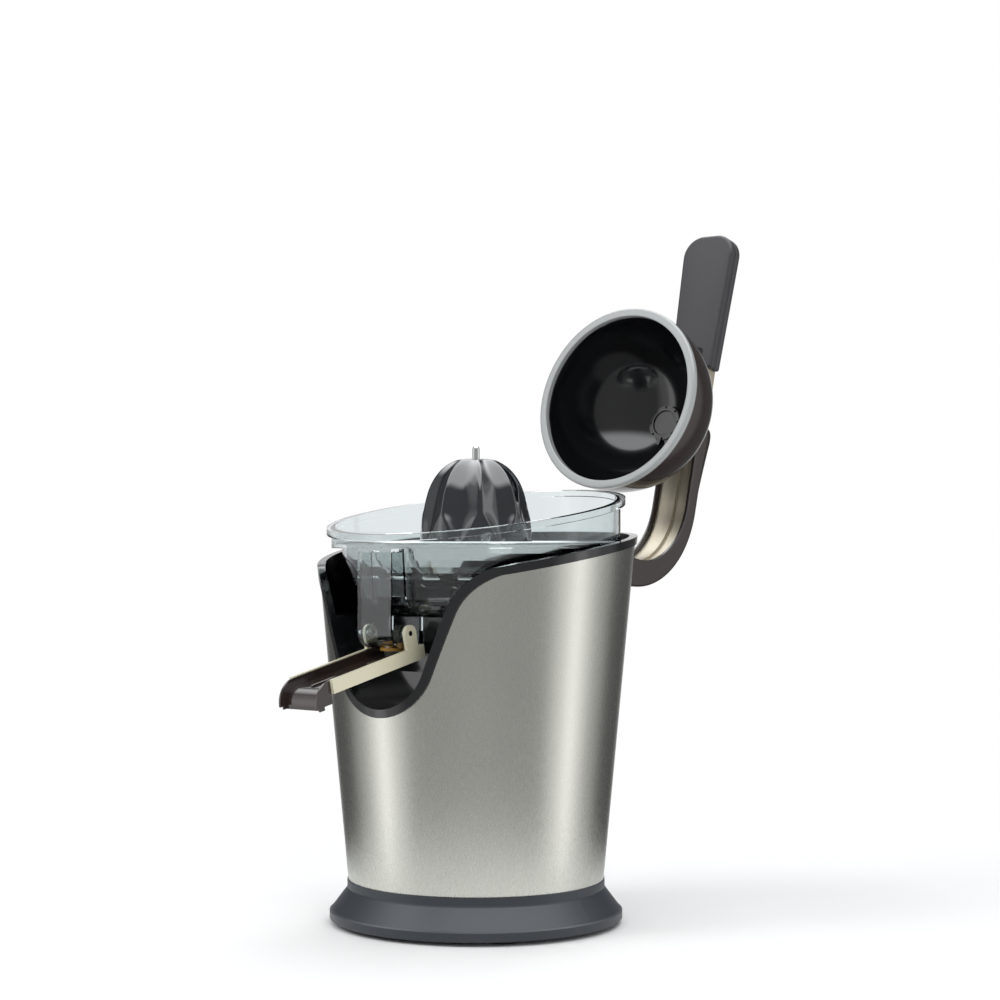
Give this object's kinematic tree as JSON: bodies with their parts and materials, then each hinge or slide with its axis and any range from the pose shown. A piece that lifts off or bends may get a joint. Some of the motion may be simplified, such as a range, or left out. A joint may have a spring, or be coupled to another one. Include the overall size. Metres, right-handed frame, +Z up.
{
  "type": "citrus press juicer",
  "caption": "Electric citrus press juicer: brushed steel body, clear juice bowl with a tilting spout, steel sieve, fluted reaming cones and a hinged lever with a press dome.",
  "frame": {"origin": "on the drive axis, on the surface the feet stand on", "axes": "+Z up along the drive axis, -Y towards the spout (the front), +Y towards the lever's hinge"},
  "size_m": [0.1988, 0.4269, 0.4513],
  "materials": {
    "brushed_steel": "vertical brushed stainless sheet",
    "polished_steel": "mirror-polished stainless",
    "gloss_black": "gloss black moulding",
    "slate_satin": "satin slate moulding",
    "grip_satin": "satin grip moulding",
    "brown_gloss": "dark brown gloss moulding",
    "reamer_gloss": "gloss blue-black moulding",
    "clear_bowl": "clear moulded plastic, glass-like",
    "cream": "cream gloss moulding",
    "amber_rubber": "amber silicone",
    "foot_rubber": "matte rubber",
    "light_grey": "light grey gloss moulding",
    "beige_metal": "bare pressed metal, warm satin",
    "bright_screw": "plated steel",
    "white_nylon": "natural nylon",
    "iron_sheet": "laminated iron, varnished",
    "copper_wire": "enamelled copper",
    "grey_steel": "plain steel",
    "carbon": "carbon"
  },
  "bodies": {
    "housing": {"steel_skin": "brushed_steel", "inner_shell": "gloss_black", "base_ring": "slate_satin", "base_plate": "slate_satin", "rubber_feet": "foot_rubber", "base_screws": "bright_screw", "cable_gland": "foot_rubber", "terminal_block": "white_nylon", "hinge_bracket": "slate_satin", "hinge_pin": "bright_screw", "hinge_screws": "bright_screw", "gearbox_plate": "grey_steel", "gearbox_screws": "bright_screw", "idler_axle": "grey_steel", "shaft_bush": "grey_steel", "shaft_seal": "foot_rubber", "switch_body": "gloss_black", "motor_brackets": "grey_steel", "stator_core": "iron_sheet", "field_coils": "copper_wire", "motor_bearings": "copper_wire", "brush_holders": "white_nylon", "carbon_brushes": "carbon"},
    "armature": {"motor_shaft": "grey_steel", "armature_core": "iron_sheet", "commutator": "copper_wire", "cooling_fan": "white_nylon", "motor_pinion": "grey_steel"},
    "idler": {"idler_gear": "white_nylon"},
    "output": {"output_gear": "white_nylon", "return_spring": "grey_steel"},
    "drive": {"drive_shaft": "grey_steel", "shaft_clip": "grey_steel"},
    "plunger": {"switch_plunger": "amber_rubber"},
    "bowl": {"juice_bowl": "clear_bowl", "chute_seal": "amber_rubber"},
    "spout": {"spout_body": "cream", "spout_channel": "brown_gloss", "spout_pins": "bright_screw"},
    "sieve": {"pulp_sieve": "polished_steel"},
    "small": {"small_reamer": "reamer_gloss", "drive_insert": "grey_steel"},
    "large": {"large_reamer": "reamer_gloss", "tip_pin": "polished_steel"},
    "lever": {"lever_frame": "beige_metal", "lever_cover": "brown_gloss", "grip_upper": "grip_satin", "grip_lower": "grip_satin", "grip_screws": "bright_screw", "dome_shell": "brown_gloss", "dome_liner": "gloss_black", "dome_rim": "light_grey", "dome_boss": "gloss_black", "dome_screw": "gloss_black"}
  },
  "joints": [
    {"name": "lever_hinge", "type": "hinge", "parent": "housing", "child": "lever", "pos_m": [0, 0.108, 0.229], "axis": [-1, 0, 0], "range_deg": [-104.6, 0]},
    {"name": "motor_spin", "type": "hinge", "parent": "housing", "child": "armature", "pos_m": [0.02068, 0.02314, 0.1], "axis": [0, 0, 1], "continuous": true},
    {"name": "idler_spin", "type": "hinge", "parent": "housing", "child": "idler", "pos_m": [0, 0.0405, 0.16], "axis": [0, 0, 1], "continuous": true},
    {"name": "output_spin", "type": "hinge", "parent": "housing", "child": "output", "pos_m": [0, 0, 0.17], "axis": [0, 0, 1], "continuous": true},
    {"name": "shaft_press", "type": "slide", "parent": "output", "child": "drive", "axis": [0, 0, 1], "range_m": [-0.0025, 0], "stiffness_N_per_m": 1500, "springref_m": 0.004, "deforming": ["return_spring"]},
    {"name": "switch_press", "type": "slide", "parent": "housing", "child": "plunger", "axis": [0, 0, 1], "range_m": [-0.0025, 0]},
    {"name": "bowl_lift", "type": "slide", "parent": "housing", "child": "bowl", "axis": [0, 0, 1], "range_m": [0, 0.059]},
    {"name": "sieve_lift", "type": "slide", "parent": "bowl", "child": "sieve", "axis": [0, 0, 1], "range_m": [0, 0.073]},
    {"name": "small_lift", "type": "slide", "parent": "drive", "child": "small", "axis": [0, 0, 1], "range_m": [0, 0.183]},
    {"name": "large_lift", "type": "slide", "parent": "small", "child": "large", "axis": [0, 0, 1], "range_m": [0, 0.063]},
    {"name": "spout_tilt", "type": "hinge", "parent": "bowl", "child": "spout", "pos_m": [0, -0.08, 0.181], "axis": [1, 0, 0], "range_deg": [-30, 0]}
  ],
  "couplings": [
    {"joint": "output_spin", "follows": "motor_spin", "ratio": 0.1},
    {"joint": "idler_spin", "follows": "motor_spin", "ratio": -0.28571},
    {"joint": "switch_press", "follows": "shaft_press", "ratio": 1},
    {"joint": "sieve_lift", "follows": "bowl_lift", "ratio": 1.2373},
    {"joint": "small_lift", "follows": "bowl_lift", "ratio": 3.1017}
  ]
}
